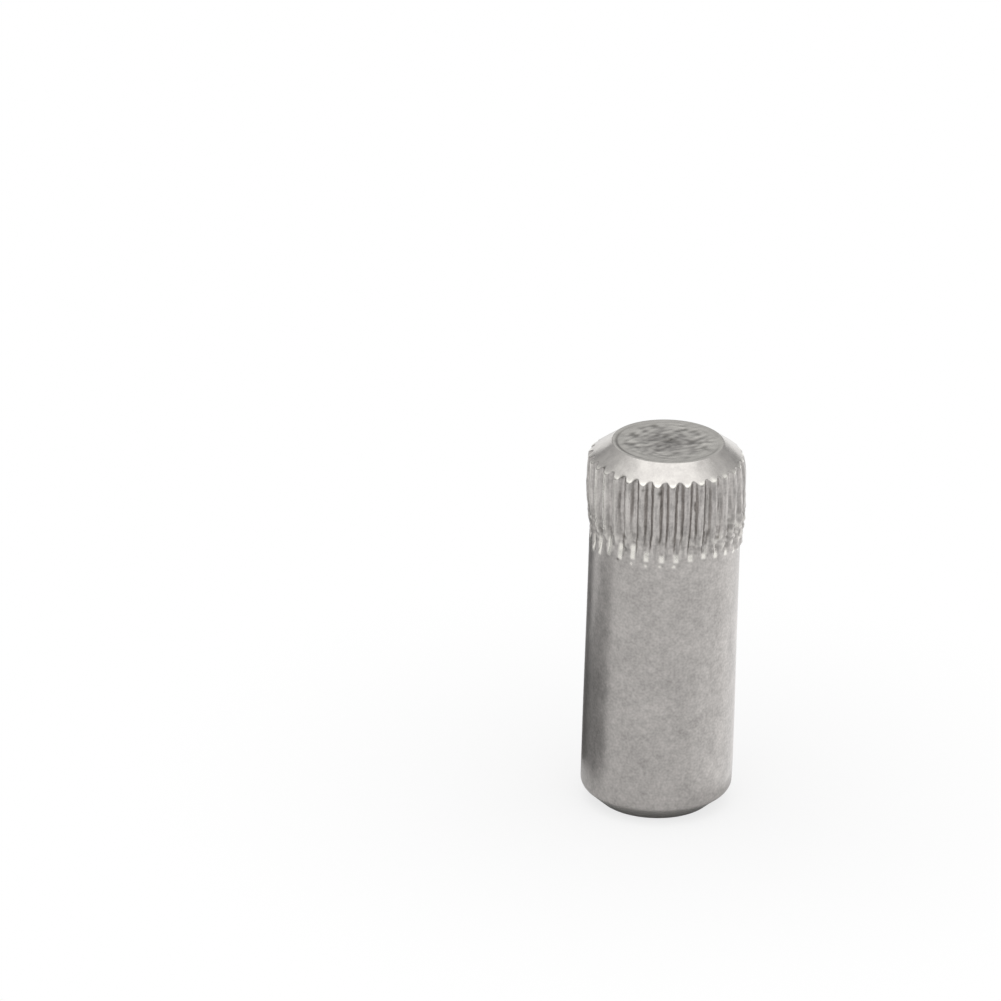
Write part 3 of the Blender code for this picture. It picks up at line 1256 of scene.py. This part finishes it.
def steel_roughness(tree, finish, blotch, cloud):
    """Duller and glossier clouds, smoother where the steel is turned or burnished."""
    turned = maths(tree, "MULTIPLY", marked(tree, "turned"), TURNED_POLISH)
    polished = maths(tree, "MAXIMUM", marked(tree, "burnished_or_highlit"), turned)
    rough = weighed(tree, finish.roughness, (cloud, CLOUD_GLOSS), (blotch, BLOTCH_GLOSS))
    return maths(tree, "SUBTRACT", rough, maths(tree, "MULTIPLY", polished, finish.polish))


def steel_relief(tree, finish, speckle, blotch):
    fine = add_node(tree, "ShaderNodeBump", Height=speckle, Distance=finish.grain_depth).outputs["Normal"]
    soft = add_node(tree, "ShaderNodeBump", Height=blotch, Distance=2 * finish.grain_depth, Normal=fine)
    return soft.outputs["Normal"]


def steel_material(finish):
    """Tumbled steel: a fine speckle and soft clouds in its colour, gloss and relief."""
    material = bpy.data.materials.new("tumbled_steel")
    material.use_nodes = True
    tree = material.node_tree
    place = tree.nodes.new("ShaderNodeTexCoord").outputs["Object"]
    speckle = pattern(tree, place, SPECKLE[0] * finish.grain, SPECKLE[1])
    blotch = pattern(tree, place, BLOTCH[0] * finish.grain, BLOTCH[1])
    cloud = pattern(tree, place, *CLOUD)
    shader = tree.nodes["Principled BSDF"]
    feed(tree, shader.inputs["Metallic"], 1.0)
    feed(tree, shader.inputs["Base Color"], steel_colour(tree, finish, place, speckle, blotch, cloud))
    feed(tree, shader.inputs["Roughness"], steel_roughness(tree, finish, blotch, cloud))
    feed(tree, shader.inputs["Normal"], steel_relief(tree, finish, speckle, blotch))
    material.diffuse_color = opaque(finish.steel)
    return material


class PIN_OT_turn(bpy.types.Operator):
    """Turn the pin's body, roll its knurl and give it its steel"""

    bl_idname = "pin.turn"
    bl_label = "Turn the pin"

    def execute(self, context):
        scene = context.scene
        sizes = scene.pin_sizes
        knurl = Knurl(sizes, scene.pin_wear)
        columns = sizes.teeth * COLUMNS_PER_TOOTH
        rings = wall_rings(sizes, knurl)
        pin = raise_wall(rings, columns)
        close_faces(pin, rings, columns)
        pin.name = PIECE
        pin.data.name = PIECE
        roll_knurl(pin.data, knurl, columns)
        wear_foot(pin.data, knurl)
        wear_face(pin.data, knurl)
        deselect_all()
        pin.select_set(True)
        context.view_layer.objects.active = pin
        bpy.ops.object.shade_smooth_by_angle(angle=SMOOTH_ANGLE)
        pin.data.materials.append(steel_material(scene.pin_finish))
        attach(pin, "root")
        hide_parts(CAD_NODE)
        return {"FINISHED"}


def floor_material(settings):
    """A pale floor that keeps the pin's shadow near it and fades to a white backdrop further out."""
    material = bpy.data.materials.new("pale_floor")
    material.use_nodes = True
    tree = material.node_tree
    tree.nodes.clear()
    paper = add_node(tree, "ShaderNodeBsdfDiffuse", Color=opaque(settings.floor_colour))
    white = add_node(tree, "ShaderNodeEmission", Color=(1.0, 1.0, 1.0, 1.0), Strength=1.0)
    away = tree.nodes.new("ShaderNodeVectorMath")
    away.operation = "LENGTH"
    tree.links.new(tree.nodes.new("ShaderNodeTexCoord").outputs["Object"], away.inputs[0])
    rays = tree.nodes.new("ShaderNodeLightPath")
    seen_white = ranged(tree, away.outputs["Value"], *SHADOW_REACH, settings.shadow_fill, 1.0)
    mirrored_white = ranged(tree, away.outputs["Value"], *GLOSS_REACH, 0.0, 1.0)
    mirrored = maths(tree, "ADD", rays.outputs["Is Glossy Ray"], rays.outputs["Is Transmission Ray"])
    share = maths(
        tree,
        "ADD",
        maths(tree, "MULTIPLY", seen_white, rays.outputs["Is Camera Ray"]),
        maths(tree, "MULTIPLY", mirrored_white, mirrored),
    )
    mix = tree.nodes.new("ShaderNodeMixShader")
    tree.links.new(share, mix.inputs["Fac"])
    tree.links.new(paper.outputs["BSDF"], mix.inputs[1])
    tree.links.new(white.outputs["Emission"], mix.inputs[2])
    add_node(tree, "ShaderNodeOutputMaterial", Surface=mix.outputs["Shader"])
    return material


def lay_floor(settings):
    deselect_all()
    bpy.ops.mesh.primitive_circle_add(
        vertices=FLOOR_CORNERS,
        radius=FLOOR_RADIUS,
        location=(0.0, 0.0, 0.0),
    )
    floor = bpy.context.object
    floor.name = "floor"
    bpy.ops.object.mode_set(mode="EDIT")
    bpy.ops.mesh.select_all(action="SELECT")
    bpy.ops.mesh.extrude_region_move(TRANSFORM_OT_translate={"value": (0.0, 0.0, BACKDROP_HEIGHT)})
    select_ring(floor, 0.0)
    bpy.ops.mesh.edge_face_add()
    bpy.ops.object.mode_set(mode="OBJECT")
    floor.data.materials.append(floor_material(settings))


def room_world(settings):
    """Plain walls, darker towards the floor."""
    world = bpy.data.worlds.new("room")
    world.use_nodes = True
    tree = world.node_tree
    direction = tree.nodes.new("ShaderNodeSeparateXYZ")
    tree.links.new(tree.nodes.new("ShaderNodeTexCoord").outputs["Generated"], direction.inputs[0])
    level = ranged(tree, direction.outputs["Z"], *WALL_RISE, settings.low_walls, settings.high_walls)
    background = tree.nodes["Background"]
    feed(tree, background.inputs["Strength"], level)
    feed(tree, background.inputs["Color"], (1.0, 1.0, 1.0, 1.0))
    return world


def card_material(name, low_level, high_level):
    material = bpy.data.materials.new(name)
    material.use_nodes = True
    tree = material.node_tree
    tree.nodes.clear()
    place = tree.nodes.new("ShaderNodeSeparateXYZ")
    tree.links.new(tree.nodes.new("ShaderNodeTexCoord").outputs["Object"], place.inputs[0])
    level = ranged(tree, place.outputs["Z"], *CARD_FADE, low_level, high_level)
    glow = add_node(tree, "ShaderNodeEmission", Color=(1.0, 1.0, 1.0, 1.0), Strength=level)
    add_node(tree, "ShaderNodeOutputMaterial", Surface=glow.outputs["Emission"])
    return material


def studio_card(name, corners, low_level, high_level):
    """A card between four corners in mm, which only the pin's gloss shows."""
    deselect_all()
    bpy.ops.mesh.primitive_plane_add(size=1.0, location=(0.0, 0.0, 0.0))
    card = bpy.context.object
    card.name = name
    places = {(False, False): 0, (True, False): 1, (True, True): 2, (False, True): 3}
    for vert in card.data.vertices:
        corner = corners[places[vert.co.x > 0, vert.co.y > 0]]
        vert.co = Vector(corner) * MM
    card.data.materials.append(card_material(name, low_level, high_level))
    card.visible_camera = False
    card.visible_diffuse = False
    card.visible_shadow = False


def soft_lamp(name, centre, width, depth, radiance):
    """A rectangular soft light that faces the pin, of a given brightness per unit of its face."""
    lamp = bpy.data.lights.new(name, "AREA")
    lamp.shape = "RECTANGLE"
    lamp.size = width
    lamp.size_y = depth
    lamp.energy = radiance * math.pi * width * depth
    obj = bpy.data.objects.new(name, lamp)
    bpy.context.scene.collection.objects.link(obj)
    obj.location = centre
    obj.rotation_euler = Vector(centre).to_track_quat("Z", "Y").to_euler()
    obj.visible_camera = False


def camera_matrix():
    """The photograph's camera: it looks at the pin's foot, which stands at its own pixel of the image."""
    focal = PIXELS_PER_METRE * CAMERA_DISTANCE
    ray = Vector((0.0, math.cos(CAMERA_ELEVATION), -math.sin(CAMERA_ELEVATION)))
    right = Vector((1.0, 0.0, 0.0))
    axes = Matrix((right, right.cross(ray), -ray)).transposed()
    middle = (IMAGE_SIDE - 1) / 2
    to_foot = Vector(((FOOT_PIXEL[0] - middle) / focal, (middle - FOOT_PIXEL[1]) / focal, -1.0))
    tilt = Vector((0.0, 0.0, -1.0)).rotation_difference(to_foot).to_matrix()
    turned = axes @ Matrix.Rotation(CAMERA_ROLL, 3, "Z") @ tilt.inverted()
    standing = Matrix.Translation(-ray * CAMERA_DISTANCE) @ turned.to_4x4()
    return Matrix.Rotation(CAMERA_TURN, 4, "Z") @ standing


def set_camera(scene):
    camera = bpy.data.objects.new("camera", bpy.data.cameras.new("camera"))
    scene.collection.objects.link(camera)
    camera.data.sensor_width = SENSOR_WIDTH
    camera.data.lens = PIXELS_PER_METRE * CAMERA_DISTANCE * SENSOR_WIDTH / IMAGE_SIDE
    camera.data.clip_start = CAMERA_CLIP_START
    camera.matrix_world = camera_matrix()
    scene.camera = camera
    scene.view_settings.view_transform = "Standard"


class PIN_OT_stage(bpy.types.Operator):
    """Set the pale floor, the soft lights and the camera"""

    bl_idname = "pin.stage"
    bl_label = "Set the stage"

    def execute(self, context):
        settings = context.scene.pin_stage
        lay_floor(settings)
        for cards, brightness in ((GREY_CARDS, settings.grey_card), (WHITE_CARDS, settings.white_card)):
            for name, corners, low, high in cards:
                studio_card(name, corners, low * brightness, high * brightness)
        for lamps, brightness in ((OVERHEAD_LAMPS, settings.overhead), (FRONT_LAMPS, settings.front)):
            for name, centre, width, depth, share in lamps:
                soft_lamp(name, centre, width, depth, share * brightness)
        context.scene.world = room_world(settings)
        set_camera(context.scene)
        return {"FINISHED"}


class PIN_PT_panel(bpy.types.Panel):
    """Lists the pin's operators"""

    bl_idname = "PIN_PT_panel"
    bl_label = "Knurled pin"
    bl_space_type = "VIEW_3D"
    bl_region_type = "UI"
    bl_category = "Knurled pin"

    def draw(self, context):
        for name in ("pin_sizes", "pin_wear", "pin_finish", "pin_stage"):
            group = getattr(context.scene, name)
            box = self.layout.box()
            for prop in group.__annotations__:
                box.prop(group, prop)
        self.layout.operator(PIN_OT_turn.bl_idname)
        self.layout.operator(PIN_OT_stage.bl_idname)


CLASSES = (PinSizes, PinWear, PinFinish, StageSettings, PIN_OT_turn, PIN_OT_stage, PIN_PT_panel)


def register():
    for cls in CLASSES:
        bpy.utils.register_class(cls)
    bpy.types.Scene.pin_sizes = PointerProperty(type=PinSizes)
    bpy.types.Scene.pin_wear = PointerProperty(type=PinWear)
    bpy.types.Scene.pin_finish = PointerProperty(type=PinFinish)
    bpy.types.Scene.pin_stage = PointerProperty(type=StageSettings)


def unregister():
    del bpy.types.Scene.pin_stage
    del bpy.types.Scene.pin_finish
    del bpy.types.Scene.pin_wear
    del bpy.types.Scene.pin_sizes
    for cls in reversed(CLASSES):
        bpy.utils.unregister_class(cls)


def main():
    register()
    bpy.ops.pin.turn()
    bpy.ops.pin.stage()


if __name__ == "__main__":
    main()
